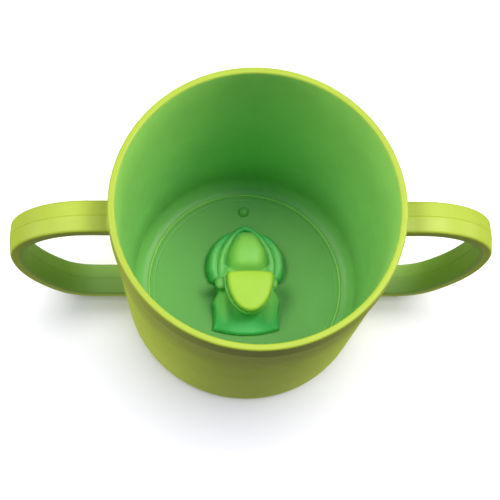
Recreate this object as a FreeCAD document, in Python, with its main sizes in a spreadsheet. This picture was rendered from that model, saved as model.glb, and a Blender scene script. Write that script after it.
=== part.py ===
"""Two-handled open training cup with a frog figure on its floor.

Frame: millimetres, +Z up, origin at the centre of the standing ring's underside.
The handles lie along X (+X is handle_right) and the frog faces -Y.
"""

import FreeCAD
import Part
import Sketcher
import math
import os

Vector = FreeCAD.Vector

# Driving dimensions, in millimetres: alias, value, what it is.
DIMENSIONS = [
    ("cup_height", 74.1, "standing plane to the top of the rim"),
    ("rim_radius", 40.0, "outside of the rim and its collar"),
    ("rim_wall", 1.85, "wall across the top of the rim"),
    ("rim_round", 0.55, "rounding of the rim's two edges"),
    ("collar_height", 6.8, "straight band below the rim"),
    ("collar_step", 0.45, "how far the band stands out from the wall"),
    ("base_radius", 35.2, "outside wall carried down to the standing plane"),
    ("heel_radius", 4.0, "outside rounding at the foot of the wall"),
    ("floor_top", 2.5, "height of the floor around the disc"),
    ("floor_corner", 33.1, "inside wall carried down to the floor"),
    ("floor_round", 4.5, "inside rounding between wall and floor"),
    ("recess_height", 0.8, "how far the underside is set up"),
    ("foot_inner", 29.4, "inside radius of the standing ring"),
    ("disc_radius", 28.6, "floor disc, whose edge shows as a ring"),
    ("disc_drop", 0.15, "disc's top below the floor around it"),
    ("ledge_radius", 26.9, "opening that the disc's plug fills"),
    ("ledge_top", 1.5, "height of the ledge that the disc sits on"),
    ("groove_radius", 27.0, "shallow ring cut in the disc"),
    ("groove_width", 0.35, "width of that ring"),
    ("groove_depth", 0.12, "depth of that ring"),
    ("strap_width", 9.1, "handle strap, front to back"),
    ("strap_middle", 4.3, "strap thickness on its parting line"),
    ("strap_edge", 3.7, "strap thickness at its edges"),
    ("strap_round", 0.75, "rounding of the strap's edges"),
    ("strap_start", 33.0, "where the strap's centreline starts, inside the wall"),
    ("handle_top", 63.35, "centreline height of the upper run"),
    ("handle_low", 7.35, "centreline height of the lower run"),
    ("handle_reach", 65.65, "furthest point of the centreline"),
    ("shoulder_radius", 20.25, "upper bend of the centreline"),
    ("side_radius", 48.85, "long outer bend of the centreline"),
    ("lower_radius", 12.85, "lower bend of the centreline"),
    ("pip_place", 23.4, "pip, behind the centre of the floor"),
    ("pip_radius", 1.85, "ball that the pip is cut from"),
    ("pip_sink", 0.45, "centre of that ball below the disc's top"),
    ("frog_shift", 0.1, "frog's middle line, to the right of the cup's"),
    ("back_place", 4.8, "centre of the back, from the cup's centre"),
    ("back_half_width", 7.4, "back, across"),
    ("back_half_length", 14.0, "back, nose to tail"),
    ("back_rise", 9.2, "back, above the disc"),
    ("thigh_spread", 7.7, "thigh's centre from the middle line"),
    ("thigh_place", 6.4, "thigh's centre from the cup's centre"),
    ("thigh_half_width", 4.5, "thigh, across"),
    ("thigh_half_length", 9.4, "thigh, nose to tail"),
    ("thigh_rise", 6.2, "thigh, above the disc"),
    ("chest_back", 1.0, "rear edge of the chest block"),
    ("chest_front", 14.5, "front corners of the chest, towards the front"),
    ("chest_bulge", 32.0, "radius of the chest's curved front"),
    ("chest_half_width", 10.0, "chest at the disc, half across"),
    ("chest_top_half_width", 7.0, "chest at its top, half across"),
    ("chest_top_front", 9.2, "front corners of the chest's top"),
    ("chest_rise", 7.6, "chest, above the disc"),
    ("head_shift", 1.0, "head's middle line, to the right of the frog's"),
    ("head_back", 0.5, "rear edge of the head, from the cup's centre"),
    ("head_front", 10.3, "where the snout's tip starts"),
    ("head_half_width", 6.8, "head at its rear edge, half across"),
    ("snout_half_width", 2.7, "head where the snout's tip starts, half across"),
    ("cheek_bow", 16.0, "radius of the head's side edges"),
    ("snout_round", 3.6, "radius of the snout's tip"),
    ("jaw_proud", 0.5, "how far the jaw shows around the head"),
    ("jaw_low", 5.6, "underside of the jaw above the disc"),
    ("mouth_rise", 10.4, "mouth line above the disc"),
    ("head_rise", 13.2, "top of the head above the disc"),
    ("head_draft", 6.0, "draft of the head's sides, in degrees"),
    ("eye_spread", 7.2, "eye's centre from the frog's middle line"),
    ("eye_place", 2.5, "eye's centre towards the front"),
    ("eye_rise", 9.6, "eye's centre above the disc"),
    ("eye_radius", 1.8, "eye ball"),
]

doc = FreeCAD.newDocument("training_cup")
sheet = doc.addObject("Spreadsheet::Sheet", "Dimensions")
for row, (alias, value, note) in enumerate(DIMENSIONS, start=1):
    sheet.set(f"A{row}", alias)
    sheet.set(f"B{row}", str(value))
    sheet.set(f"C{row}", note)
    sheet.setAlias(f"B{row}", alias)
doc.recompute()


class Size:
    """A number worked out from the sheet, with the expression that binds it there."""

    def __init__(self, value, text):
        self.value = value
        self.text = text

    def __add__(self, other):
        other = as_size(other)
        return Size(self.value + other.value, f"({self.text} + {other.text})")

    def __sub__(self, other):
        other = as_size(other)
        return Size(self.value - other.value, f"({self.text} - {other.text})")

    def __mul__(self, other):
        other = as_size(other)
        return Size(self.value * other.value, f"({self.text} * {other.text})")

    def __neg__(self):
        return Size(-self.value, f"(0 - {self.text})")


def as_size(number):
    return number if isinstance(number, Size) else Size(number, str(number))


def dim(alias):
    return Size(float(sheet.get(alias)), f"Dimensions.{alias}")


def bind(thing, prop, size, unit=""):
    thing.setExpression(prop, as_size(size).text + unit)


def new_body(label):
    body = doc.addObject("PartDesign::Body", label)
    body.Label = label
    return body


def origin_plane(body, role):
    return next(f for f in body.Origin.OriginFeatures if f.Role == role)


def new_sketch(body, name, role, height=None):
    """A sketch on one of the body's own origin planes, lifted off it by height."""
    sketch = body.newObject("Sketcher::SketchObject", name)
    sketch.AttachmentSupport = [(origin_plane(body, role), "")]
    sketch.MapMode = "FlatFace"
    if height is not None:
        bind(sketch, ".AttachmentOffset.Base.z", height)
    return sketch


def place_point(sketch, name, geometry, end, x, y):
    """Ties one end of a piece of geometry to a place given by two sizes."""
    for kind, axis, size in (("DistanceX", "x", x), ("DistanceY", "y", y)):
        size = as_size(size)
        if abs(size.value) < 1e-9:
            own_axis = -2 if axis == "x" else -1
            sketch.addConstraint(Sketcher.Constraint("PointOnObject", geometry, end, own_axis))
            continue
        index = sketch.addConstraint(Sketcher.Constraint(kind, -1, 1, geometry, end, size.value))
        sketch.renameConstraint(index, f"{name}_{axis}")
        bind(sketch, f"Constraints.{name}_{axis}", size)


def closed_outline(sketch, corners, bows=None):
    """Draws a closed outline through corners. bows maps the number of a side to the radius that
    it bulges outwards with; the other sides are straight. Corners run anticlockwise."""
    bows = bows or {}
    points = [Vector(as_size(x).value, as_size(y).value, 0) for x, y in corners]
    count = len(points)
    for i in range(count):
        a, b = points[i], points[(i + 1) % count]
        if i in bows:
            radius = bows[i].value
            half = (b - a) * 0.5
            inward = Vector(-half.y, half.x, 0).normalize()
            centre = a + half + inward * math.sqrt(radius**2 - half.Length**2)
            start = math.atan2(a.y - centre.y, a.x - centre.x)
            stop = math.atan2(b.y - centre.y, b.x - centre.x)
            circle = Part.Circle(centre, Vector(0, 0, 1), radius)
            sketch.addGeometry(Part.ArcOfCircle(circle, start, stop), False)
            index = sketch.addConstraint(Sketcher.Constraint("Radius", i, radius))
            sketch.renameConstraint(index, f"bow_{i}")
            bind(sketch, f"Constraints.bow_{i}", bows[i])
        else:
            sketch.addGeometry(Part.LineSegment(a, b), False)
    for i in range(count):
        following = (i + 1) % count
        sketch.addConstraint(Sketcher.Constraint("Coincident", i, 2, following, 1))
    for i, (x, y) in enumerate(corners):
        place_point(sketch, f"corner_{i}", i, 1, x, y)


def revolve(body, name, sketch):
    turned = body.newObject("PartDesign::Revolution", name)
    turned.Profile = sketch
    turned.ReferenceAxis = (sketch, ["V_Axis"])
    turned.Angle = 360.0
    doc.recompute()
    return turned


def ring_edges(shape, wanted):
    """Names of the round edges at the (radius, height) pairs in wanted."""
    found = []
    for i, edge in enumerate(shape.Edges, start=1):
        if not isinstance(edge.Curve, Part.Circle):
            continue
        for radius, height in wanted:
            same_radius = abs(edge.Curve.Radius - radius) < 1e-4
            if same_radius and abs(edge.Curve.Center.z - height) < 1e-4:
                found.append(f"Edge{i}")
    return found


def fillet(body, name, base, edges, radius):
    rounded = body.newObject("PartDesign::Fillet", name)
    rounded.Base = (base, edges)
    bind(rounded, "Radius", radius)
    doc.recompute()
    return rounded


def make_cup_body():
    """Tapered wall with the rim, its collar, the heel, the standing ring and the disc's ledge."""
    body = new_body("cup_body")
    sketch = new_sketch(body, "wall_section", "XZ_Plane")
    height = dim("cup_height")
    wall_top = dim("rim_radius") - dim("collar_step")
    collar_foot = height - dim("collar_height")
    closed_outline(
        sketch,
        [
            (dim("ledge_radius"), dim("recess_height")),
            (dim("foot_inner"), dim("recess_height")),
            (dim("foot_inner"), 0),
            (dim("base_radius"), 0),
            (wall_top, collar_foot - dim("collar_step")),
            (dim("rim_radius"), collar_foot),
            (dim("rim_radius"), height),
            (dim("rim_radius") - dim("rim_wall"), height),
            (dim("floor_corner"), dim("floor_top")),
            (dim("disc_radius"), dim("floor_top")),
            (dim("disc_radius"), dim("ledge_top")),
            (dim("ledge_radius"), dim("ledge_top")),
        ],
    )
    turned = revolve(body, "wall_turned", sketch)
    rim_edges = [
        (dim("rim_radius").value, height.value),
        ((dim("rim_radius") - dim("rim_wall")).value, height.value),
    ]
    rounded = fillet(body, "rim_rounded", turned, ring_edges(turned.Shape, rim_edges), dim("rim_round"))
    heel = ring_edges(rounded.Shape, [(dim("base_radius").value, 0)])
    rounded = fillet(body, "heel_rounded", rounded, heel, dim("heel_radius"))
    corner = ring_edges(rounded.Shape, [(dim("floor_corner").value, dim("floor_top").value)])
    fillet(body, "floor_rounded", rounded, corner, dim("floor_round"))
    return body


def disc_top():
    return dim("floor_top") - dim("disc_drop")


def make_floor_disc():
    """The disc that closes the floor: a flange on the ledge and a plug down through it."""
    body = new_body("floor_disc")
    sketch = new_sketch(body, "disc_section", "XZ_Plane")
    groove_outer = dim("groove_radius") + dim("groove_width") * 0.5
    groove_inner = dim("groove_radius") - dim("groove_width") * 0.5
    closed_outline(
        sketch,
        [
            (0, dim("recess_height")),
            (dim("ledge_radius"), dim("recess_height")),
            (dim("ledge_radius"), dim("ledge_top")),
            (dim("disc_radius"), dim("ledge_top")),
            (dim("disc_radius"), disc_top()),
            (groove_outer, disc_top()),
            (dim("groove_radius"), disc_top() - dim("groove_depth")),
            (groove_inner, disc_top()),
            (0, disc_top()),
        ],
    )
    revolve(body, "disc_turned", sketch)
    return body


def strap_path(body):
    """Centreline of the strap: out, round the shoulder, down the long side bend and back in."""
    sketch = new_sketch(body, "strap_path", "XZ_Plane")
    start = dim("strap_start").value
    top = dim("handle_top").value
    low = dim("handle_low").value
    reach = dim("handle_reach").value
    radii = [dim(a) for a in ("shoulder_radius", "side_radius", "lower_radius")]
    shoulder, side, lower = (r.value for r in radii)
    middle = top - shoulder
    turn = math.asin((middle - low - lower) / (side - lower))
    lower_x = reach - side + (side - lower) * math.cos(turn)
    across = Vector(0, 0, 1)
    arcs = [
        (Vector(reach - shoulder, middle, 0), shoulder, 0, math.pi / 2),
        (Vector(reach - side, middle, 0), side, -turn, 0),
        (Vector(lower_x, low + lower, 0), lower, -math.pi / 2, -turn),
    ]
    sketch.addGeometry(Part.LineSegment(Vector(start, top, 0), Vector(reach - shoulder, top, 0)), False)
    for centre, radius, first, last in arcs:
        sketch.addGeometry(Part.ArcOfCircle(Part.Circle(centre, across, radius), first, last), False)
    sketch.addGeometry(Part.LineSegment(Vector(lower_x, low, 0), Vector(start, low, 0)), False)
    for first, first_end, second, second_end in ((0, 2, 1, 2), (1, 1, 2, 2), (2, 1, 3, 2), (3, 1, 4, 1)):
        sketch.addConstraint(Sketcher.Constraint("Tangent", first, first_end, second, second_end))
    sketch.addConstraint(Sketcher.Constraint("Horizontal", 0))
    sketch.addConstraint(Sketcher.Constraint("Horizontal", 4))
    sketch.addConstraint(Sketcher.Constraint("Horizontal", 1, 1, 1, 3))
    for i, radius in enumerate(radii, start=1):
        index = sketch.addConstraint(Sketcher.Constraint("Radius", i, radius.value))
        sketch.renameConstraint(index, f"bend_{i}")
        bind(sketch, f"Constraints.bend_{i}", radius)
    place_point(sketch, "upper_end", 0, 1, dim("strap_start"), dim("handle_top"))
    place_point(sketch, "lower_end", 4, 2, dim("strap_start"), dim("handle_low"))
    index = sketch.addConstraint(Sketcher.Constraint("DistanceX", -1, 1, 1, 1, reach))
    sketch.renameConstraint(index, "reach")
    bind(sketch, "Constraints.reach", dim("handle_reach"))
    return sketch


def make_handle(label, turn):
    """A strap bent to a D. It is thickest on its parting line and ends flush on the cup's wall."""
    body = new_body(label)
    path = strap_path(body)
    section = new_sketch(body, "strap_section", "YZ_Plane", dim("strap_start"))
    half_width = dim("strap_width") * 0.5
    middle = dim("strap_middle") * 0.5
    edge = dim("strap_edge") * 0.5
    level = dim("handle_top")
    closed_outline(
        section,
        [
            (0, level - middle),
            (half_width, level - edge),
            (half_width, level + edge),
            (0, level + middle),
            (-half_width, level + edge),
            (-half_width, level - edge),
        ],
    )
    doc.recompute()
    strap = body.newObject("PartDesign::AdditivePipe", "strap")
    strap.Profile = section
    strap.Spine = path
    doc.recompute()
    long_edges = [
        f"Edge{i}"
        for i, e in enumerate(strap.Shape.Edges, start=1)
        if abs(abs(e.CenterOfMass.y) - half_width.value) < 1e-3 and e.Length > dim("strap_width").value / 2
    ]
    fillet(body, "strap_rounded", strap, long_edges, dim("strap_round"))
    inside = body.newObject("PartDesign::SubtractiveCone", "inside_of_wall")
    bind(inside, "Radius1", dim("base_radius"))
    bind(inside, "Radius2", dim("rim_radius") - dim("collar_step"))
    bind(inside, "Height", dim("cup_height") - dim("collar_height") - dim("collar_step"))
    doc.recompute()
    body.Placement = FreeCAD.Placement(Vector(), FreeCAD.Rotation(Vector(0, 0, 1), turn))
    return body


def put_at(shape, x, y, z):
    for axis, place in (("x", x), ("y", y), ("z", z)):
        bind(shape, f".Placement.Base.{axis}", place)
    return shape


def ball(name, x, y, z, across, along, up):
    """An ellipsoid with half-sizes across (X), along (Y) and up (Z)."""
    shape = doc.addObject("Part::Ellipsoid", name)
    bind(shape, "Radius1", up)
    bind(shape, "Radius2", across)
    bind(shape, "Radius3", along)
    return put_at(shape, x, y, z)


def round_ball(name, x, y, z, radius):
    shape = doc.addObject("Part::Sphere", name)
    bind(shape, "Radius", radius)
    return put_at(shape, x, y, z)


def cut(label, base, tool):
    result = doc.addObject("Part::Cut", label)
    result.Label = label
    result.Base = base
    result.Tool = tool
    return result


def below_disc():
    """A block under the disc's top, which trims what stands on the disc."""
    block = doc.addObject("Part::Box", "below_disc")
    side = dim("disc_radius") * 2
    bind(block, "Length", side)
    bind(block, "Width", side)
    bind(block, "Height", dim("disc_radius"))
    corner = -dim("disc_radius")
    return put_at(block, corner, corner, disc_top() - dim("disc_radius"))


def make_pip(floor_block):
    """The small round pip on the floor behind the frog."""
    centre = disc_top() - dim("pip_sink")
    dome = round_ball("pip_ball", 0, dim("pip_place"), centre, dim("pip_radius"))
    return cut("floor_pip", dome, floor_block)


def make_back(label):
    return ball(
        label,
        dim("frog_shift"),
        dim("back_place"),
        disc_top(),
        dim("back_half_width"),
        dim("back_half_length"),
        dim("back_rise"),
    )


def make_thigh(label, side, floor_block, neighbours):
    thigh = ball(
        f"{label}_ball",
        dim("frog_shift") + dim("thigh_spread") * side,
        dim("thigh_place"),
        disc_top(),
        dim("thigh_half_width"),
        dim("thigh_half_length"),
        dim("thigh_rise"),
    )
    trimmed = cut(f"{label}_on_disc", thigh, floor_block)
    for number, neighbour in enumerate(neighbours, start=1):
        last = number == len(neighbours)
        trimmed = cut(label if last else f"{label}_trim_{number}", trimmed, neighbour)
    return trimmed


def chest_outline(sketch, half_width, front):
    closed_outline(
        sketch,
        [
            (dim("frog_shift") - half_width, -front),
            (dim("frog_shift") + half_width, -front),
            (dim("frog_shift") + half_width, dim("chest_back")),
            (dim("frog_shift") - half_width, dim("chest_back")),
        ],
        {0: dim("chest_bulge")},
    )


def make_chest_block():
    """The chest and forelegs, wide at the disc and narrower under the jaw."""
    body = new_body("chest_block")
    low = new_sketch(body, "chest_low", "XY_Plane", disc_top())
    chest_outline(low, dim("chest_half_width"), dim("chest_front"))
    high = new_sketch(body, "chest_high", "XY_Plane", disc_top() + dim("chest_rise"))
    chest_outline(high, dim("chest_top_half_width"), dim("chest_top_front"))
    doc.recompute()
    loft = body.newObject("PartDesign::AdditiveLoft", "chest_loft")
    loft.Profile = low
    loft.Sections = [high]
    loft.Ruled = True
    doc.recompute()
    return body


def make_snout(label, low, high, proud, draft):
    """A slab shaped like a snout seen from above: straight at the rear, bowed sides, round tip."""
    body = new_body(label)
    sketch = new_sketch(body, f"{label}_outline", "XY_Plane", disc_top() + low)
    middle = dim("frog_shift") + dim("head_shift")
    rear = dim("head_half_width") + proud
    tip = dim("snout_half_width") + proud
    closed_outline(
        sketch,
        [
            (middle + rear, dim("head_back") + proud),
            (middle - rear, dim("head_back") + proud),
            (middle - tip, -dim("head_front") - proud),
            (middle + tip, -dim("head_front") - proud),
        ],
        {1: dim("cheek_bow"), 2: dim("snout_round"), 3: dim("cheek_bow")},
    )
    doc.recompute()
    pad = body.newObject("PartDesign::Pad", f"{label}_pad")
    pad.Profile = sketch
    bind(pad, "Length", high - low)
    if draft is not None:
        bind(pad, "TaperAngle", -draft)
    doc.recompute()
    return body


def make_eye(label, side, head, jaw):
    across = dim("frog_shift") + dim("eye_spread") * side
    up = disc_top() + dim("eye_rise")
    eye = round_ball(f"{label}_ball", across, -dim("eye_place"), up, dim("eye_radius"))
    return cut(label, cut(f"{label}_off_head", eye, head), jaw)


def make_frog(floor_block):
    """The frog's pieces. Each is trimmed by its neighbours, so that they meet face to face."""
    head = make_snout("frog_head", dim("mouth_rise"), dim("head_rise"), as_size(0), dim("head_draft"))
    jaw = make_snout("frog_jaw", dim("jaw_low"), dim("mouth_rise"), dim("jaw_proud"), None)
    back_ball = make_back("back_ball")
    back_on_disc = cut("back_on_disc", back_ball, floor_block)
    back = cut("frog_back", cut("back_off_head", back_on_disc, head), jaw)
    chest_block = make_chest_block()
    chest = cut("frog_chest", cut("chest_off_back", chest_block, back_ball), jaw)
    thighs = [
        make_thigh(f"frog_thigh_{name}", side, floor_block, [back_ball, chest_block])
        for name, side in (("left", -1), ("right", 1))
    ]
    eyes = [make_eye(f"frog_eye_{name}", side, head, jaw) for name, side in (("left", -1), ("right", 1))]
    return [head, jaw, back, chest, *thighs, *eyes]


def check(parts):
    for thing in doc.Objects:
        if {"Invalid", "Error"} & set(thing.State):
            raise RuntimeError(f"{thing.Label} failed: {thing.State}")
    for part in parts:
        shape = part.Shape
        if shape.isNull() or not shape.isValid() or not shape.Solids or shape.Volume <= 0:
            raise RuntimeError(f"{part.Label} has no valid solid")


def main():
    floor_block = below_disc()
    parts = [
        make_cup_body(),
        make_floor_disc(),
        make_handle("handle_right", 0),
        make_handle("handle_left", 180),
        make_pip(floor_block),
        *make_frog(floor_block),
    ]
    doc.recompute()
    check(parts)
    os.makedirs("parts", exist_ok=True)
    for part in parts:
        part.Shape.exportStep(f"parts/{part.Label}.step")
        print(part.Label, len(part.Shape.Solids), "solid", round(part.Shape.Volume, 1), "mm3")


main()
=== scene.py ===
"""A two-handled training cup with a frog in relief on its floor.

Lengths are millimetres in the cup's own frame (+Z up, origin under the middle of the base,
handles along X, the frog facing -Y). They become metres when a mesh is made. The lights, the
camera and the stage are in metres from the start. Colours are linear RGB.
"""

import math

import bpy
import numpy as np
from mathutils import Matrix, Vector


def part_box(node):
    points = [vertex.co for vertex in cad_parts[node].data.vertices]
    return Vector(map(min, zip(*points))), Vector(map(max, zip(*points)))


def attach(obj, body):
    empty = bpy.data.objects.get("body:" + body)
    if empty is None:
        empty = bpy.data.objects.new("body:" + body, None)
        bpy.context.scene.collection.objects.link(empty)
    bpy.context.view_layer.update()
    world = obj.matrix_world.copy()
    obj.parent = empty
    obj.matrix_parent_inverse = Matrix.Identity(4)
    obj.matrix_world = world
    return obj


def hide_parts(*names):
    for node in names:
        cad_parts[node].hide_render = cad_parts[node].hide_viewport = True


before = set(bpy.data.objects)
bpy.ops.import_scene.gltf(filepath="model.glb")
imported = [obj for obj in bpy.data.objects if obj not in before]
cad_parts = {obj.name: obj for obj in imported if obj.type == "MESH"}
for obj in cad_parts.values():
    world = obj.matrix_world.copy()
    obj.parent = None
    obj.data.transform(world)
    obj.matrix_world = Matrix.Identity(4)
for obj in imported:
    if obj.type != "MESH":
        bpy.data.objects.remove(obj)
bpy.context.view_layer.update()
MM = 0.001

# ---------------------------------------------------------------- sizes shared by the pieces


def node_box(node):
    """A node's lowest and highest corners in millimetres."""
    return [[round(value / MM, 2) for value in corner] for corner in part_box(node)]


CUP_TOP_CORNER = node_box("cup_body")[1]
RIM_RADIUS = CUP_TOP_CORNER[0]
RIM_WALL = 1.85
CUP_HEIGHT = CUP_TOP_CORNER[2]
COLLAR_HEIGHT = 6.8
COLLAR_FOOT = CUP_HEIGHT - COLLAR_HEIGHT
COLLAR_STEP = 0.45
BASE_RADIUS = 35.2
FLOOR_TOP = 2.5
FLOOR_CORNER = 33.1
DISC_RADIUS = node_box("floor_disc")[1][0]
DISC_TOP = node_box("floor_disc")[1][2]
LEDGE_RADIUS = 26.9
LEDGE_TOP = 1.5
RECESS = 0.8
FOOT_INNER = 29.4
BEAD_HEIGHT = 0.32

AROUND = 288
NO_SURFACE = -9.0


# ---------------------------------------------------------------- mesh helpers


def make_piece(name, verts, faces, material, nodes, sharp=None):
    """A mesh piece from millimetre vertices. sharp is the crease angle in degrees, or None."""
    mesh = bpy.data.meshes.new(name)
    mesh.from_pydata([tuple(float(c) * MM for c in v) for v in verts], [], faces)
    mesh.validate()
    mesh.update()
    mesh.polygons.foreach_set("use_smooth", [True] * len(mesh.polygons))
    if sharp is not None:
        mesh.set_sharp_from_angle(angle=math.radians(sharp))
    mesh.materials.append(material)
    piece = bpy.data.objects.new(name, mesh)
    bpy.context.scene.collection.objects.link(piece)
    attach(piece, "root")
    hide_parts(*nodes)
    return piece


def rounded_outline(corners, closed=True, steps=8):
    """(x, y, radius) corners to a list of points, with an arc at each corner that has a radius."""
    points = []
    count = len(corners)
    for i, (x, y, radius) in enumerate(corners):
        here = Vector((x, y))
        if radius <= 0 or (not closed and i in (0, count - 1)):
            points.append(here)
            continue
        back = (Vector(corners[i - 1][:2]) - here).normalized()
        ahead = (Vector(corners[(i + 1) % count][:2]) - here).normalized()
        half = back.angle(ahead) / 2
        reach = radius / math.tan(half)
        centre = here + (back + ahead).normalized() * (radius / math.sin(half))
        start = here + back * reach - centre
        turn = math.pi - 2 * half
        if back.x * ahead.y - back.y * ahead.x > 0:
            turn = -turn
        for k in range(steps + 1):
            points.append(centre + Matrix.Rotation(turn * k / steps, 2) @ start)
    return points


def subdivided(points, longest, closed=True):
    """Adds points on long straight stretches, so that faces stay even."""
    result = []
    ahead = points[1:] + points[:1] if closed else points[1:]
    for a, b in zip(points, ahead):
        parts = max(1, math.ceil((b - a).length / longest))
        result += [a.lerp(b, k / parts) for k in range(parts)]
    if not closed:
        result.append(points[-1])
    return result


def lathe(profile, around=AROUND, centre=(0.0, 0.0)):
    """Turns (r, z) points about Z. Points at r = 0 become one vertex."""
    verts = []
    faces = []
    rings = []
    for r, z in profile:
        if r < 1e-6:
            rings.append([len(verts)])
            verts.append((centre[0], centre[1], z))
            continue
        ring = []
        for k in range(around):
            a = 2 * math.pi * k / around
            ring.append(len(verts))
            verts.append((centre[0] + r * math.cos(a), centre[1] + r * math.sin(a), z))
        rings.append(ring)
    whole = rings if len(rings[0]) == 1 else rings + rings[:1]
    for low, high in zip(whole, whole[1:]):
        for k in range(around):
            n = (k + 1) % around
            if len(low) == 1 and len(high) == 1:
                break
            if len(low) == 1:
                faces.append((low[0], high[n], high[k]))
            elif len(high) == 1:
                faces.append((low[k], low[n], high[0]))
            else:
                faces.append((low[k], low[n], high[n], high[k]))
    return verts, faces


def skin(rings):
    """Joins rings of equal length into a tube, with a fan of faces over each end."""
    count = len(rings[0])
    verts = [v for ring in rings for v in ring]
    faces = []
    for i in range(len(rings) - 1):
        for k in range(count):
            n = (k + 1) % count
            a, b = i * count, (i + 1) * count
            faces.append((a + k, a + n, b + n, b + k))
    last = (len(rings) - 1) * count
    for base, ring, flip in ((0, rings[0], True), (last, rings[-1], False)):
        middle = len(verts)
        verts.append(tuple(np.mean(np.array(ring), axis=0)))
        for k in range(count):
            n = (k + 1) % count
            faces.append((base + n, base + k, middle) if flip else (base + k, base + n, middle))
    return verts, faces


# ---------------------------------------------------------------- materials


def ramp_from(tree, source, stops):
    """A colour ramp over source with (position, colour) stops."""
    node = tree.nodes.new("ShaderNodeValToRGB")
    elements = node.color_ramp.elements
    while len(elements) < len(stops):
        elements.new(0.5)
    for element, (position, colour) in zip(elements, stops):
        element.position = position
        element.color = (*colour, 1.0)
    tree.links.new(source, node.inputs["Fac"])
    return node.outputs["Color"]


def noise(tree, scale, detail):
    """Noise fixed to the object, as a value of about 0.3 to 0.7."""
    place = tree.nodes.new("ShaderNodeTexCoord")
    node = tree.nodes.new("ShaderNodeTexNoise")
    node.inputs["Scale"].default_value = scale
    node.inputs["Detail"].default_value = detail
    tree.links.new(place.outputs["Object"], node.inputs["Vector"])
    return node.outputs["Fac"]


def remapped(tree, source, low, high, to_low, to_high):
    """Source, with the range low to high turned into to_low to to_high and held at its ends."""
    node = tree.nodes.new("ShaderNodeMapRange")
    node.inputs["From Min"].default_value = low
    node.inputs["From Max"].default_value = high
    node.inputs["To Min"].default_value = to_low
    node.inputs["To Max"].default_value = to_high
    tree.links.new(source, node.inputs["Value"])
    return node.outputs["Result"]


def product(tree, a, b):
    """Two values multiplied."""
    node = tree.nodes.new("ShaderNodeMath")
    node.operation = "MULTIPLY"
    tree.links.new(a, node.inputs[0])
    tree.links.new(b, node.inputs[1])
    return node.outputs["Value"]


ROUGHNESS = 0.46
ROUGHNESS_SPREAD = 0.05
GRAIN_STRENGTH = 0.25
GRAIN_DEPTH = 0.1
MOTTLE_SCALE, GLOSS_SCALE, GRAIN_SCALE = 60.0, 260.0, 1500.0
# BAND_SHADE, BAND_STRENGTH, BAND_FRONT and BAND_END paint a shadow under the rim, strongest at the front
# of the cup.
BAND_SHADE = (0.10, 0.13, 0.02, 1.0)
BAND_STRENGTH = 0.6
BAND_FRONT, BAND_END = -40.0, -22.0


def even(colour):
    """The stops of a tint that is the same at every height."""
    return [(0.0, colour), (CUP_HEIGHT, colour)]


def plastic(name, by_height, shaded_band=None):
    """Moulded satin plastic. by_height is (z in mm, colour) stops: the tint changes up the cup,
    and with it painted light and shade that change with height.
    Faint mottling varies the colour and the gloss, and the surface has a fine grain.
    shaded_band is (low, high) in mm: there a painted shadow darkens the tint towards the front of the
    cup."""
    material = bpy.data.materials.new(name)
    material.use_nodes = True
    tree = material.node_tree
    links = tree.links
    shader = tree.nodes["Principled BSDF"]

    place = tree.nodes.new("ShaderNodeTexCoord")
    split = tree.nodes.new("ShaderNodeSeparateXYZ")
    links.new(place.outputs["Object"], split.inputs["Vector"])
    rise = remapped(tree, split.outputs["Z"], 0.0, CUP_HEIGHT * MM, 0.0, 1.0)
    colour = ramp_from(tree, rise, [(z / CUP_HEIGHT, c) for z, c in by_height])
    mottle = remapped(tree, noise(tree, MOTTLE_SCALE, 4.0), 0.3, 0.7, 0.94, 1.03)
    mixed = tree.nodes.new("ShaderNodeMix")
    mixed.data_type = "RGBA"
    mixed.blend_type = "MULTIPLY"
    mixed.inputs["Factor"].default_value = 1.0
    links.new(colour, mixed.inputs["A"])
    links.new(mottle, mixed.inputs["B"])
    tint = mixed.outputs["Result"]
    # Painted shadow under the rim: the tint darkens within the band, most at the front.
    if shaded_band:
        low, high = shaded_band
        above = remapped(tree, split.outputs["Z"], (low - 0.4) * MM, (low + 0.4) * MM, 0.0, 1.0)
        below = remapped(tree, split.outputs["Z"], high * MM, (high + 0.8) * MM, 1.0, 0.0)
        ahead, behind = BAND_FRONT * MM, BAND_END * MM
        front = remapped(tree, split.outputs["Y"], ahead, behind, BAND_STRENGTH, 0.0)
        shade = product(tree, product(tree, above, below), front)
        darker = tree.nodes.new("ShaderNodeMix")
        darker.data_type = "RGBA"
        links.new(shade, darker.inputs["Factor"])
        links.new(tint, darker.inputs["A"])
        darker.inputs["B"].default_value = BAND_SHADE
        tint = darker.outputs["Result"]
    links.new(tint, shader.inputs["Base Color"])

    dull, shiny = ROUGHNESS + ROUGHNESS_SPREAD, ROUGHNESS - ROUGHNESS_SPREAD
    gloss = remapped(tree, noise(tree, GLOSS_SCALE, 3.0), 0.3, 0.7, shiny, dull)
    links.new(gloss, shader.inputs["Roughness"])
    bump = tree.nodes.new("ShaderNodeBump")
    bump.inputs["Strength"].default_value = GRAIN_STRENGTH
    bump.inputs["Distance"].default_value = GRAIN_DEPTH * MM
    links.new(noise(tree, GRAIN_SCALE, 2.0), bump.inputs["Height"])
    links.new(bump.outputs["Normal"], shader.inputs["Normal"])
    shader.inputs["IOR"].default_value = 1.46
    shader.inputs["Specular IOR Level"].default_value = 0.35
    return material


# The lime is lighter low down and darker from halfway up to the rim: painted light and shade, the lower
# wall lit more from the floor below.
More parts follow.
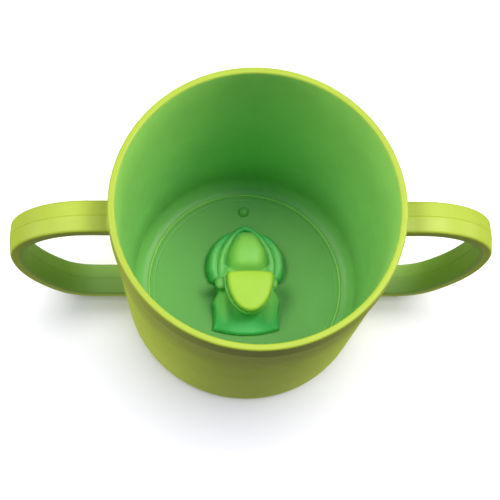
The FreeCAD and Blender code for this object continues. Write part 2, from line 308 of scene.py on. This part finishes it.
LIME = plastic(
    "lime_plastic",
    [
        (0.0, (0.58, 0.77, 0.070)),
        (18.0, (0.54, 0.71, 0.064)),
        (45.0, (0.45, 0.615, 0.038)),
        (58.0, (0.335, 0.435, 0.036)),
        (CUP_HEIGHT - 2.5, (0.335, 0.435, 0.036)),
        (CUP_HEIGHT - 0.3, (0.335, 0.445, 0.036)),
    ],
    # The band under the rim carries a painted shadow at the front.
    shaded_band=(COLLAR_FOOT, CUP_HEIGHT - 1.2),
)
# Inside the cup, its floor disc, the pip and the left eye: a darker, greener copy of the lime, painted
# shade, deepest at the floor.
INSIDE_SHADE = plastic(
    "inner_plastic",
    [(2.0, (0.145, 0.41, 0.088)), (20.0, (0.23, 0.57, 0.15)), (73.0, (0.335, 0.67, 0.14))],
)
# The handles' inner faces, towards the finger gap: a greener, darker lime, painted shade.
STRAP_SHADE = plastic("strap_painted_shade_plastic", even((0.29, 0.50, 0.09)))
# A lighter green on the floor's raised ring line: a painted highlight along the bead.
BEAD_HIGHLIGHT = plastic("bead_painted_highlight_plastic", even((0.26, 0.56, 0.12)))
# The frog: deep green near the floor and lighter, yellower higher up, with a darker step about 12.3 mm:
# painted light on the raised parts and painted shade low down.
FROG_LIGHT_AND_SHADE = plastic(
    "frog_painted_light_and_shade",
    [
        (2.0, (0.09, 0.53, 0.135)),
        (5.0, (0.085, 0.53, 0.14)),
        (6.7, (0.21, 0.62, 0.165)),
        (9.0, (0.29, 0.68, 0.14)),
        (11.2, (0.335, 0.70, 0.125)),
        (12.3, (0.24, 0.64, 0.15)),
        (13.2, (0.28, 0.61, 0.12)),
        (15.0, (0.43, 0.65, 0.058)),
    ],
)

# ---------------------------------------------------------------- cup body


def wall_x(y, z):
    """X of the cup's outside face beside a handle."""
    top_radius = RIM_RADIUS - COLLAR_STEP
    radius = BASE_RADIUS + (top_radius - BASE_RADIUS) * z / (COLLAR_FOOT - COLLAR_STEP)
    return math.sqrt(radius**2 - y**2)


def on_bead(point):
    """Whether a point of the shell, in metres, is on the raised ring line of the floor."""
    beside = math.hypot(point.x, point.y) < (DISC_RADIUS + 0.8) * MM
    return beside and point.z > (FLOOR_TOP + 0.1) * MM


def make_cup_body():
    """The turned shell: lime outside, painted shade (a darker green) inside, and a painted highlight (a
    lighter ring) on the floor.
    """
    corners = [
        (LEDGE_RADIUS, RECESS, 0.0),
        (FOOT_INNER, RECESS, 0.25),
        (FOOT_INNER, 0.0, 0.35),
        (BASE_RADIUS, 0.0, 4.0),
        (RIM_RADIUS - COLLAR_STEP, COLLAR_FOOT - COLLAR_STEP, 0.2),
        (RIM_RADIUS, COLLAR_FOOT, 0.2),
        (RIM_RADIUS, CUP_HEIGHT, 0.6),
        (RIM_RADIUS - RIM_WALL, CUP_HEIGHT, 0.6),
        (FLOOR_CORNER, FLOOR_TOP, 4.5),
        (DISC_RADIUS + 0.75, FLOOR_TOP, 0.2),
        (DISC_RADIUS + 0.4, FLOOR_TOP + BEAD_HEIGHT, 0.16),
        (DISC_RADIUS + 0.02, FLOOR_TOP - 0.02, 0.02),
        (DISC_RADIUS, LEDGE_TOP, 0.0),
        (LEDGE_RADIUS, LEDGE_TOP, 0.0),
    ]
    profile = subdivided(rounded_outline(corners), 2.2)
    verts, faces = lathe([(p.x, p.y) for p in profile])
    shell = make_piece("cup_body_shell", verts, faces, LIME, ["cup_body"], 35)
    shell.data.materials.append(INSIDE_SHADE)
    shell.data.materials.append(BEAD_HIGHLIGHT)
    shade_slot, highlight_slot = 1, 2
    below_rim = (CUP_HEIGHT - 0.3) * MM
    near_floor = 10.0 * MM
    for face in shell.data.polygons:
        middle = face.center
        inward = face.normal.x * middle.x + face.normal.y * middle.y < 0
        upward = face.normal.z > 0.5 and middle.z < near_floor
        # Faces inside the cup, and those facing up near the floor, take the painted shade.
        if (inward or upward) and RECESS * MM < middle.z < below_rim:
            face.material_index = shade_slot
        # The ring line's faces take the painted highlight.
        if on_bead(middle):
            face.material_index = highlight_slot
    return shell


# ---------------------------------------------------------------- floor disc and pip


def make_floor_disc():
    """The flat disc on its ledge, with a shallow groove just inside its edge."""
    groove = 27.2
    face = FLOOR_TOP - 0.03
    corners = [
        (0.0, RECESS, 0.0),
        (LEDGE_RADIUS, RECESS, 0.0),
        (LEDGE_RADIUS, LEDGE_TOP, 0.0),
        (DISC_RADIUS, LEDGE_TOP, 0.0),
        (DISC_RADIUS, face, 0.05),
        (groove + 0.3, face, 0.08),
        (groove, face - 0.05, 0.08),
        (groove - 0.3, face, 0.08),
        (0.0, face, 0.0),
    ]
    profile = subdivided(rounded_outline(corners, closed=False, steps=4), 2.0, closed=False)
    verts, faces = lathe([(p.x, p.y) for p in profile], 192)
    return make_piece("floor_disc_plate", verts, faces, INSIDE_SHADE, ["floor_disc"], 35)


PIP_Y = 23.4


def make_pip():
    """A round dome that flares a little where it meets the disc."""
    radius, height, flare, sunk = 1.6, 2.1, 0.1, 0.3
    foot = radius + flare
    profile = [(0.0, DISC_TOP - sunk), (foot, DISC_TOP - sunk), (foot, DISC_TOP)]
    for k in range(1, 6):
        a = math.pi / 2 * k / 6
        profile.append((foot - flare * math.sin(a), DISC_TOP + flare * (1 - math.cos(a))))
    for k in range(16):
        a = math.pi / 2 * k / 16
        rise = flare + (height - flare) * math.sin(a)
        profile.append((radius * math.cos(a), DISC_TOP + rise))
    profile.append((0.0, DISC_TOP + height))
    verts, faces = lathe(profile, 64, (0.0, PIP_Y))
    return make_piece("floor_pip_dome", verts, faces, INSIDE_SHADE, ["floor_pip"], 60)


# ---------------------------------------------------------------- handles

STRAP_HALF = 4.55
STRAP_MID = 2.15
STRAP_EDGE = 1.85
GROOVE_HALF = 0.2
GROOVE_DEPTH = 0.1
HANDLE_LOW_CORNER, HANDLE_TOP_CORNER = node_box("handle_right")
STRAP_TOP = HANDLE_TOP_CORNER[2] - STRAP_MID
STRAP_LOW = HANDLE_LOW_CORNER[2] + STRAP_MID
STRAP_REACH = HANDLE_TOP_CORNER[0] - STRAP_MID
STRAP_START = 38.35  # the strap's upper end, inside the thickness of the wall
STRAP_END = 35.05  # its lower end, where the wall is nearer to the axis
SHOULDER, SIDE, LOWER = 20.25, 48.85, 12.85
ROOT_FILLET = 0.9


def strap_centreline():
    """(x, z, direction angle) along the strap: out, round the three bends and back in.
    The stops of the two straight runs are closest together at the wall, for the fillets."""
    middle = STRAP_TOP - SHOULDER
    turn = math.asin((middle - STRAP_LOW - LOWER) / (SIDE - LOWER))
    upper_x = STRAP_REACH - SHOULDER
    side_x = STRAP_REACH - SIDE
    lower_x = side_x + (SIDE - LOWER) * math.cos(turn)
    run_steps = 24
    stops = []
    for k in range(run_steps + 1):
        t = (k / run_steps) ** 1.5
        stops.append((STRAP_START + (upper_x - STRAP_START) * t, STRAP_TOP, 0.0))
    arcs = [
        (upper_x, middle, SHOULDER, math.pi / 2, 0.0, 44),
        (side_x, middle, SIDE, 0.0, -turn, 44),
        (lower_x, STRAP_LOW + LOWER, LOWER, -turn, -math.pi / 2, 26),
    ]
    for cx, cz, radius, a0, a1, steps in arcs:
        for k in range(1, steps + 1):
            a = a0 + (a1 - a0) * k / steps
            stops.append((cx + radius * math.cos(a), cz + radius * math.sin(a), a - math.pi / 2))
    for k in range(1, run_steps + 1):
        t = 1 - (1 - k / run_steps) ** 1.5
        stops.append((lower_x + (STRAP_END - lower_x) * t, STRAP_LOW, -math.pi))
    return stops


def strap_section():
    """(across, out) outline: roof-shaped faces with a fine parting groove, and rounded edges."""
    edge_round, groove_round = 0.75, 0.05
    corners = []
    for s in (1, -1):
        corners += [
            (-s * STRAP_HALF, s * STRAP_EDGE, edge_round),
            (-s * GROOVE_HALF, s * STRAP_MID, groove_round),
            (0.0, s * (STRAP_MID - GROOVE_DEPTH), 0.0),
            (s * GROOVE_HALF, s * STRAP_MID, groove_round),
            (s * STRAP_HALF, s * STRAP_EDGE, edge_round),
        ]
    return subdivided(rounded_outline(corners, steps=5), 0.6)


def root_swell(gap):
    """How far the strap's skin stands out at this distance from the wall, for a round fillet."""
    gap = max(gap, 0.0)
    return ROOT_FILLET - math.sqrt(max(ROOT_FILLET**2 - (ROOT_FILLET - gap) ** 2, 0.0))


def make_handle(name, node, side):
    """The strap on one side (1 or -1), with painted shade, a greener tint, on its inner faces."""
    section = strap_section()
    rings = []
    for x, z, angle in strap_centreline():
        out = (-math.sin(angle), math.cos(angle))
        ring = []
        for p in section:
            px, py, pz = x + out[0] * p.y, p.x, z + out[1] * p.y
            gap = px - wall_x(py, pz)
            if gap < ROOT_FILLET:
                across = p.x / STRAP_HALF
                away = Vector((across * abs(across) ** 3, p.y / 2.0))
                away.normalize()
                swell = root_swell(gap)
                py += swell * away.x
                pz += swell * away.y * out[1]
            ring.append((side * px, side * py, pz))
        rings.append(ring)
    verts, faces = skin(rings)
    strap = make_piece(name, verts, faces, LIME, [node], 40)
    strap.data.materials.append(STRAP_SHADE)
    shade_slot = 1
    count = len(section)
    for face in strap.data.polygons:
        corners = [section[index % count] for index in face.vertices]
        # Faces on the section's inner half take the painted shade.
        if len(corners) == 4 and all(p.y < 0 for p in corners):
            face.material_index = shade_slot
    return strap


# ---------------------------------------------------------------- frog

FROG_X = 0.1
LEAN = 0.08  # how far the back, legs and chest shift towards +X for each millimetre of height


def smooth_curve(points, steps=24):
    """Catmull-Rom points through the given tuples, with any number of values in each."""
    pts = np.array(points, float)
    pts = np.vstack([2 * pts[0] - pts[1], pts, 2 * pts[-1] - pts[-2]])
    out = []
    for i in range(1, len(pts) - 2):
        a, b, c, d = pts[i - 1 : i + 3]
        square = 2 * a - 5 * b + 4 * c - d
        cube = 3 * b - a - 3 * c + d
        for k in range(steps):
            t = k / steps
            out.append(0.5 * (2 * b + (c - a) * t + square * t**2 + cube * t**3))
    out.append(pts[-2])
    return np.array(out)


def mound(s, height, power):
    """A rounded hill over the plan grid: full height where s is 0, and nothing past s = 1."""
    return np.where(s < 1, height * (1 - np.minimum(s, 1)) ** power, NO_SURFACE)


def strand(u, v, points):
    """Height of a rounded strand over the plan grid. points are (u, v, half width, height)."""
    best = np.full(u.shape, NO_SURFACE)
    for cu, cv, width, height in smooth_curve(points):
        s = ((u - cu) ** 2 + (v - cv) ** 2) / width**2
        best = np.maximum(best, mound(s, height, 0.5))
    return best


def soft_max(a, b, blend):
    """The higher of two surfaces, with a fillet of about the blend height where they cross."""
    h = np.clip(0.5 + 0.5 * (a - b) / blend, 0, 1)
    both = (a > NO_SURFACE / 2) & (b > NO_SURFACE / 2)
    return b * (1 - h) + a * h + blend * h * (1 - h) * np.where(both, 1, 0)


def step(start, end, x):
    """A smooth step from 0 at start to 1 at end."""
    t = np.clip((x - start) / (end - start), 0, 1)
    return t * t * (3 - 2 * t)


def bell(x, centre, width):
    """A smooth bump of height 1 at centre."""
    return np.exp(-(((x - centre) / width) ** 2))


# The two strands of the folded left leg, from the rump forwards. Each point is
# (u, v, half width, height): u runs along X from FROG_X, and v along Y from the cup's axis.
OUTER_LEG = [
    (-3.6, 15.9, 0.8, 1.6),
    (-5.9, 14.4, 1.3, 2.6),
    (-8.2, 11.6, 1.7, 3.6),
    (-9.6, 8.2, 2.0, 4.3),
    (-9.9, 4.6, 2.1, 4.2),
    (-9.3, 2.1, 2.0, 3.6),
]
INNER_LEG = [
    (0.0, 17.6, 1.1, 2.3),
    (-2.0, 16.6, 1.1, 2.9),
    (-4.7, 13.5, 1.3, 4.0),
    (-6.8, 9.3, 1.6, 4.9),
    (-7.7, 5.3, 1.8, 5.0),
    (-7.5, 1.6, 1.9, 4.2),
]


def back_height(u, v):
    """A broad dome with a flat crown on a low skirt. It drops to a neck just before the head."""
    crown_u, crown_v = 0.1, 8.0
    rear_reach, front_reach = 8.2, 6.2
    dome_height, skirt_height, neck_height = 9.3, 4.4, 6.4
    skirt_half, skirt_v, skirt_reach = 7.4, 5.5, 10.2
    rear = v > crown_v
    ahead = np.where(rear, (v - crown_v) / rear_reach, (crown_v - v) / front_reach)
    power = np.where(rear, 2.0, 3.6)
    width = 6.5 - 1.8 * step(7.0, 15.5, v)
    dome = mound(np.abs((u - crown_u) / width) ** 3.0 + ahead**power, dome_height, 0.4)
    around = np.abs(u / skirt_half) ** 4 + np.abs((v - skirt_v) / skirt_reach) ** 4
    skirt = mound(around, skirt_height, 0.5)
    aside = np.clip(1 - (np.abs(u) / skirt_half) ** 4, 0, 1)
    neck = neck_height * aside**0.3 * step(crown_v, 3.5, v) * step(-7.0, -5.0, v)
    dome = soft_max(dome, np.where(neck > 0.5, neck, NO_SURFACE), 1.6)
    return soft_max(dome, skirt, 2.2)


def chest_height(u, v):
    """The chest with a foreleg down each side. It slopes down to a bowed front edge."""
    chest_half, front_v, front_bow = 9.85, -14.35, 1.65
    foot_v, rear_v, edge_round = -15.8, 2.5, 0.9
    arm_u, arm_width, arm_height = 6.9, 2.2, 1.2
    waist = 1.25 * bell(v, -2.2, 2.4)
    elbow = 0.55 * bell(v, -6.3, 1.4)
    flare = 0.35 * bell(v, -14.6, 1.4)
    half = chest_half - waist + elbow + flare
    aside = np.minimum(np.abs(u) / 10.0, 1)
    front = front_v - (1 - aside**2) * front_bow
    inside = np.minimum(half - np.abs(u), v - front)
    edge = np.sqrt(np.clip(1 - (1 - np.clip(inside / edge_round, 0, 1)) ** 2, 0, 1))
    rise = 1.7 + 3.6 * step(foot_v, -4.5, v) ** 1.2
    rise = rise * (0.25 + 0.75 * step(3.5, -3.5, v))
    arms = arm_height * bell(np.abs(u), arm_u, arm_width)
    arms = arms * step(foot_v, -11.5, v) * step(1.0, -5.0, v)
    crown = rise * (1 - 0.25 * aside**4)
    return np.where((inside > 0) & (v < rear_v), edge * (crown + arms), NO_SURFACE)


def make_frog_body():
    """The relief round the head: one blended surface, cut into pieces along its valleys."""
    pitch = 0.16
    half_width, front_v, rear_v = 13.2, -17.0, 20.0
    leg_blend, thigh_blend, chest_blend = 0.5, 1.9, 0.9
    us = np.arange(-half_width, half_width + pitch / 2, pitch)
    vs = np.arange(front_v, rear_v + pitch / 2, pitch)
    u, v = np.meshgrid(us, vs)
    legs = []
    for side in (1, -1):
        outer = strand(side * u, v, OUTER_LEG)
        inner = strand(side * u, v, INNER_LEG)
        legs.append(soft_max(outer, inner, leg_blend))
    back, chest = back_height(u, v), chest_height(u, v)
    height = soft_max(soft_max(back, legs[0], thigh_blend), legs[1], thigh_blend)
    height = soft_max(height, chest, chest_blend)
    label = np.argmax(np.array([back, legs[0], legs[1], chest]), axis=0)
    label[height < -0.2] = -1

    names = ["frog_back", "frog_thigh_left", "frog_thigh_right", "frog_chest"]
    pieces = []
    foot = -0.25
    for number, node in enumerate(names):
        cell = (label[:-1, :-1] == number) & (label[1:, :-1] >= 0) & (label[:-1, 1:] >= 0)
        cell &= label[1:, 1:] >= 0
        verts, index, faces = [], {}, []

        def vertex(j, i, low):
            key = (j, i, low)
            if key not in index:
                index[key] = len(verts)
                z = foot if low else max(height[j, i], foot + 0.02)
                x = FROG_X + us[i] + LEAN * max(z, 0.0)
                verts.append((x, vs[j], DISC_TOP + z))
            return index[key]

        for j, i in zip(*np.nonzero(cell)):
            corners = [(j, i), (j, i + 1), (j + 1, i + 1), (j + 1, i)]
            faces.append([vertex(a, b, False) for a, b in corners])
            faces.append([vertex(a, b, True) for a, b in reversed(corners)])
            beside = [(j - 1, i), (j, i + 1), (j + 1, i), (j, i - 1)]
            for k, (nj, ni) in enumerate(beside):
                if 0 <= nj < cell.shape[0] and 0 <= ni < cell.shape[1] and cell[nj, ni]:
                    continue
                a, b = corners[k], corners[(k + 1) % 4]
                low_a, low_b = vertex(*a, True), vertex(*b, True)
                faces.append([low_a, low_b, vertex(*b, False), vertex(*a, False)])
        piece = make_piece(f"{node}_relief", verts, faces, FROG_LIGHT_AND_SHADE, [node], 50)
        pieces.append(piece)
    return pieces


HEAD_X = FROG_X + 1.0
JAW_X = HEAD_X - 0.15
HEAD_Y = -0.5


def snout_outline(half_width, length, rear, corner):
    """Plan outline of the head: gently bowed across the rear, then half an ellipse to the tip."""
    tip_steps, rear_steps = 120, 8
    rear_bow = 0.5
    points = []
    for k in range(tip_steps + 1):
        a = math.pi * k / tip_steps
        points.append((-half_width * math.cos(a), -length * math.sin(a), 0.0))
    points.append((half_width, rear, corner))
    for k in range(rear_steps - 1, 0, -1):
        x = half_width * 0.8 * (2 * k / rear_steps - 1)
        points.append((x, rear + rear_bow * (1 - (x / half_width) ** 2), 0.0))
    points.append((-half_width, rear, corner))
    return subdivided(rounded_outline(points, steps=6), 0.5)


def snout_rings(levels, half_width, length, rear, narrowing, middle_y, place_x):
    """Rings of a snout-shaped slab, one for each (inset, z) level. An inset of 1 mm takes that
    much off each side, and narrowing mm off the length, about middle_y."""
    whole = length + rear
    outline = snout_outline(half_width, length, rear, 1.0)
    rings = []
    for inset, z in levels:
        scale_x = (half_width - inset) / half_width
        scale_y = (whole - narrowing * inset) / whole
        ring = []
        for p in outline:
            y = (p.y - middle_y) * scale_y + middle_y
            ring.append((place_x + p.x * scale_x, HEAD_Y + y, z))
        rings.append(ring)
    return rings


def rounded_top(top, radius, steps):
    """(inset, z) levels of a rounded upper edge."""
    levels = []
    for k in range(steps + 1):
        a = math.pi / 2 * k / steps
        levels.append((radius * (1 - math.cos(a)), top - radius * (1 - math.sin(a))))
    return levels


def make_head():
    """The flat, slightly crowned top of the head."""
    bottom, top, foot_inset, crown = 12.5, 15.35, 0.35, 0.28
    levels = [(foot_inset, bottom), (0.0, bottom + foot_inset)]
    levels += rounded_top(top, 1.5, 8)
    for inset in (2.0, 3.2, 4.4, 5.6, 6.5):
        levels.append((inset, top + crown * math.sin((inset - 1.0) / 5.5 * math.pi / 2)))
    rings = snout_rings(
        levels, half_width=7.0, length=11.2, rear=1.0, narrowing=1.3, middle_y=-5.2, place_x=HEAD_X
    )
    verts, faces = skin(rings)
    return make_piece("frog_head_top", verts, faces, FROG_LIGHT_AND_SHADE, ["frog_head"], 60)


def make_jaw():
    """The lower jaw: wider than the head, so that it shows as a thin lip, and drawn in below."""
    bottom, top, lip_round = 5.5, 12.55, 0.45
    levels = [(1.9, bottom), (1.3, bottom + 1.6), (0.7, bottom + 3.6), (0.25, bottom + 5.2)]
    levels += rounded_top(top, lip_round, 6)
    levels.append((1.4, top - 0.02))
    rings = snout_rings(
        levels, half_width=7.7, length=11.35, rear=1.2, narrowing=1.916, middle_y=-5.3, place_x=JAW_X
    )
    verts, faces = skin(rings)
    return make_piece("frog_jaw_lip", verts, faces, FROG_LIGHT_AND_SHADE, ["frog_jaw"], 60)


def make_eye(name, node, centre, radii, material):
    """A soft-cornered bump on the side of the head, with a shallow crease under its lid."""
    around, levels = 44, 26
    crease_depth, crease_angle, crease_width = 0.05, 0.7, 0.16

    def squared(value):
        return math.copysign(abs(value) ** 0.7, value)

    rings = []
    for k in range(1, levels):
        a = -math.pi / 2 + math.pi * k / levels
        crease = 1 - crease_depth * float(bell(a, crease_angle, crease_width))
        ring = []
        for n in range(around):
            b = 2 * math.pi * n / around
            x = radii[0] * squared(math.cos(a)) * squared(math.cos(b)) * crease
            y = radii[1] * squared(math.cos(a)) * squared(math.sin(b)) * crease
            z = radii[2] * squared(math.sin(a))
            ring.append((centre[0] + x, centre[1] + y, centre[2] + z))
        rings.append(ring)
    verts, faces = skin(rings)
    return make_piece(name, verts, faces, material, [node])


# ---------------------------------------------------------------- floor, light and camera

PAPER = (0.95, 0.90, 0.83, 1.0)
BOUNCE = (0.41, 0.38, 0.25)
HORIZON = (0.25, 0.235, 0.17)
DOME = (0.01, 0.12, 0.56)
WARM = (1.0, 0.94, 0.82)
WHITE = (1.0, 1.0, 1.0)

CUP_MIDDLE = (0.0, 0.0, 0.04)
BASE_MIDDLE = (0.0, 0.0, 0.0)


def make_stage():
    """A wide sheet of matt paper, hidden from the cup: the world's lower half stands in for it."""
    reach = 3.0
    corners = [(-reach, -reach, 0), (reach, -reach, 0), (reach, reach, 0), (-reach, reach, 0)]
    mesh = bpy.data.meshes.new("stage_floor")
    mesh.from_pydata(corners, [], [(0, 1, 2, 3)])
    floor = bpy.data.objects.new("stage_floor", mesh)
    bpy.context.scene.collection.objects.link(floor)
    paper = bpy.data.materials.new("stage_paper")
    paper.use_nodes = True
    shader = paper.node_tree.nodes["Principled BSDF"]
    shader.inputs["Base Color"].default_value = PAPER
    shader.inputs["Roughness"].default_value = 0.9
    shader.inputs["Specular IOR Level"].default_value = 0.1
    mesh.materials.append(paper)
    floor.visible_diffuse = False
    floor.visible_glossy = False
    return floor


def area_light(name, place, target, receivers, size, power, colour=WARM):
    """A round soft box aimed at target, which lights only the objects in receivers."""
    data = bpy.data.lights.new(name, "AREA")
    data.shape = "DISK"
    data.size = size
    data.energy = power
    data.color = colour
    light = bpy.data.objects.new(name, data)
    bpy.context.scene.collection.objects.link(light)
    place = Vector(place)
    light.location = place
    light.rotation_euler = (Vector(target) - place).to_track_quat("-Z", "Y").to_euler()
    lit = bpy.data.collections.new(f"{name}_receivers")
    for thing in receivers:
        lit.objects.link(thing)
    light.light_linking.receiver_collection = lit
    return light


CAMERA_YAW = math.radians(10.198)
CAMERA_PITCH = math.radians(71.305)
CAMERA_ROLL = math.radians(9.798)
CAMERA_PLACE = (-0.029314, -0.16182, 0.5222)
CAMERA_LENS = 129.6


def make_camera():
    """High above the front, looking steeply down, turned and rolled a little."""
    level = math.cos(CAMERA_PITCH)
    ahead = Vector((math.sin(CAMERA_YAW) * level, math.cos(CAMERA_YAW) * level, -math.sin(CAMERA_PITCH)))
    right = ahead.cross(Vector((0, 0, 1))).normalized()
    up = right.cross(ahead)
    across = right * math.cos(CAMERA_ROLL) + up * math.sin(CAMERA_ROLL)
    upward = up * math.cos(CAMERA_ROLL) - right * math.sin(CAMERA_ROLL)
    data = bpy.data.cameras.new("camera")
    data.sensor_width = 36.0
    data.lens = CAMERA_LENS
    data.clip_start = 0.01
    camera = bpy.data.objects.new("camera", data)
    bpy.context.scene.collection.objects.link(camera)
    turned = Matrix((across, upward, -ahead)).transposed().to_4x4()
    camera.matrix_world = Matrix.Translation(CAMERA_PLACE) @ turned
    bpy.context.scene.camera = camera


def make_world():
    """Dim fill from all round: warm from below and the sides, and blue from straight above."""
    world = bpy.data.worlds.new("studio")
    world.use_nodes = True
    tree = world.node_tree
    place = tree.nodes.new("ShaderNodeTexCoord")
    split = tree.nodes.new("ShaderNodeSeparateXYZ")
    tree.links.new(place.outputs["Generated"], split.inputs["Vector"])
    height = remapped(tree, split.outputs["Z"], -1.0, 1.0, 0.0, 1.0)
    stops = [(0.0, BOUNCE), (0.47, BOUNCE), (0.55, HORIZON), (1.0, DOME)]
    background = tree.nodes["Background"]
    tree.links.new(ramp_from(tree, height, stops), background.inputs["Color"])
    background.inputs["Strength"].default_value = 1.0
    bpy.context.scene.world = world


LEFT_EYE, LEFT_EYE_RADII = (-7.3, -1.8, 10.3), (1.9, 1.8, 1.3)
RIGHT_EYE, RIGHT_EYE_RADII = (7.9, -2.4, 11.6), (1.4, 1.8, 1.5)

make_camera()
make_world()
floor = make_stage()
bpy.context.scene.view_settings.view_transform = "Standard"

cup = [
    make_cup_body(),
    make_floor_disc(),
    make_pip(),
    make_handle("handle_right_strap", "handle_right", 1),
    make_handle("handle_left_strap", "handle_left", -1),
    *make_frog_body(),
    make_jaw(),
    make_head(),
    # The left eye takes the inside's painted shade and the right eye the frog's colour: painted shade on
    # the left eye.
    make_eye("frog_eye_left_bump", "frog_eye_left", LEFT_EYE, LEFT_EYE_RADII, INSIDE_SHADE),
    make_eye("frog_eye_right_bump", "frog_eye_right", RIGHT_EYE, RIGHT_EYE_RADII, FROG_LIGHT_AND_SHADE),
]
for side, label, power in ((-1, "left", 4.6), (1, "right", 5.9)):
    high, low = (side * 0.42, 0.10, 0.72), (side * 0.9, 0.1, 0.2)
    area_light(f"soft_box_{label}", high, CUP_MIDDLE, cup, size=0.38, power=power)
    area_light(f"side_fill_{label}", low, CUP_MIDDLE, cup, size=0.4, power=2.8)
area_light("overhead", (0.18, 0.06, 0.85), BASE_MIDDLE, cup, size=0.16, power=1.3)
area_light("floor_wash", (0.12, 0.28, 1.25), BASE_MIDDLE, [floor], size=2.1, power=44.5, colour=WHITE)
